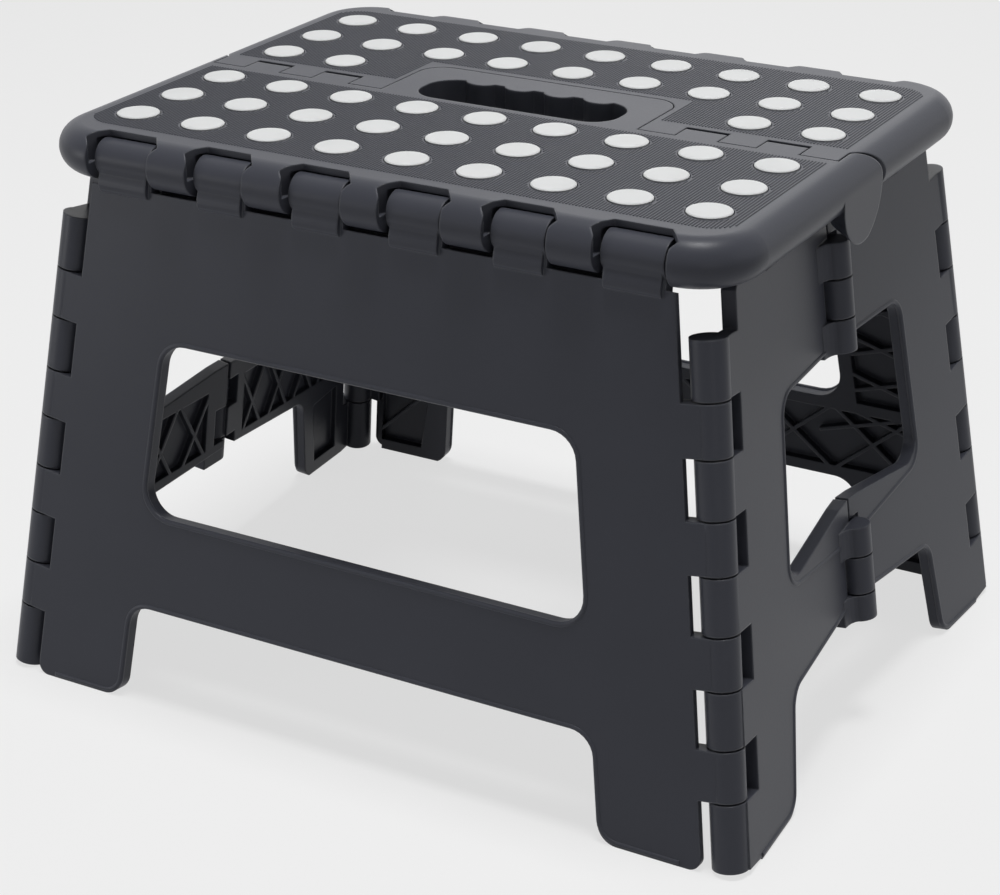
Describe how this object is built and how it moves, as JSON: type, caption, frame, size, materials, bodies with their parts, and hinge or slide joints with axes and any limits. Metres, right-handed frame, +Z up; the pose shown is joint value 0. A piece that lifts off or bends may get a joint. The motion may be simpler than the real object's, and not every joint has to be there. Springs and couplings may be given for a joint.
{
  "type": "folding stool",
  "caption": "Low folding step stool in dark plastic: dotted two-part seat with a hand slot, hinged leg panels and end panels that fold inwards flat.",
  "frame": {"origin": "on the floor, under the centre of the seat", "axes": "+X along the long side of the seat to the right, +Y to the rear, +Z up"},
  "size_m": [0.3196, 0.2542, 0.22],
  "materials": {
    "panels": "fine moulded texture, satin",
    "dots": "smooth soft anti-slip dots",
    "pins": "drawn wire"
  },
  "bodies": {
    "leg_front": {"leg_front": "panels", "front_edge_pin": "pins"},
    "leg_rear": {"leg_rear": "panels", "rear_edge_pin": "pins"},
    "seat_front": {"seat_front": "panels", "seat_front_dots": "dots", "centre_pin_left": "pins", "centre_pin_right": "pins"},
    "seat_rear": {"seat_rear": "panels", "seat_rear_dots": "dots"},
    "right_end_front": {"right_end_front": "panels", "front_right_corner_pin": "pins", "right_mid_pins": "pins"},
    "right_end_rear": {"right_end_rear": "panels", "rear_right_corner_pin": "pins"},
    "left_end_front": {"left_end_front": "panels", "front_left_corner_pin": "pins", "left_mid_pins": "pins"},
    "left_end_rear": {"left_end_rear": "panels", "rear_left_corner_pin": "pins"}
  },
  "joints": [
    {"name": "right_front_corner", "type": "hinge", "parent": "leg_front", "child": "right_end_front", "pos_m": [0.1369, -0.10655, 0.12], "axis": [-0.131, 0.1142, 0.9848], "range_deg": [0, 84]},
    {"name": "left_front_corner", "type": "hinge", "parent": "leg_front", "child": "left_end_front", "pos_m": [-0.1369, -0.10655, 0.12], "axis": [-0.131, -0.1142, -0.9848], "range_deg": [0, 84]},
    {"name": "right_middle", "type": "hinge", "parent": "right_end_front", "child": "right_end_rear", "pos_m": [0.1394, 0, 0.12], "axis": [0.1318, 0, -0.9913], "range_deg": [0, 166.43]},
    {"name": "left_middle", "type": "hinge", "parent": "left_end_front", "child": "left_end_rear", "pos_m": [-0.1394, 0, 0.12], "axis": [0.1318, 0, 0.9913], "range_deg": [0, 166.43]},
    {"name": "right_rear_corner", "type": "hinge", "parent": "right_end_rear", "child": "leg_rear", "pos_m": [0.1369, 0.10655, 0.12], "axis": [-0.131, -0.1142, 0.9848], "range_deg": [0, 84.05]},
    {"name": "front_seat_edge", "type": "hinge", "parent": "leg_front", "child": "seat_front", "pos_m": [0, -0.0985, 0.2095], "axis": [1, 0, 0], "range_deg": [0, 78.12]},
    {"name": "rear_seat_edge", "type": "hinge", "parent": "leg_rear", "child": "seat_rear", "pos_m": [0, 0.0985, 0.2095], "axis": [-1, 0, 0], "range_deg": [0, 78.12]}
  ],
  "couplings": [
    {"joint": "left_front_corner", "follows": "right_front_corner", "ratio": 1},
    {"joint": "right_middle", "follows": "right_front_corner", "ratio": 1.9813},
    {"joint": "left_middle", "follows": "right_front_corner", "ratio": 1.9813},
    {"joint": "right_rear_corner", "follows": "right_front_corner", "ratio": 1.0006},
    {"joint": "front_seat_edge", "follows": "right_front_corner", "ratio": 0.93},
    {"joint": "rear_seat_edge", "follows": "right_front_corner", "ratio": 0.93}
  ]
}
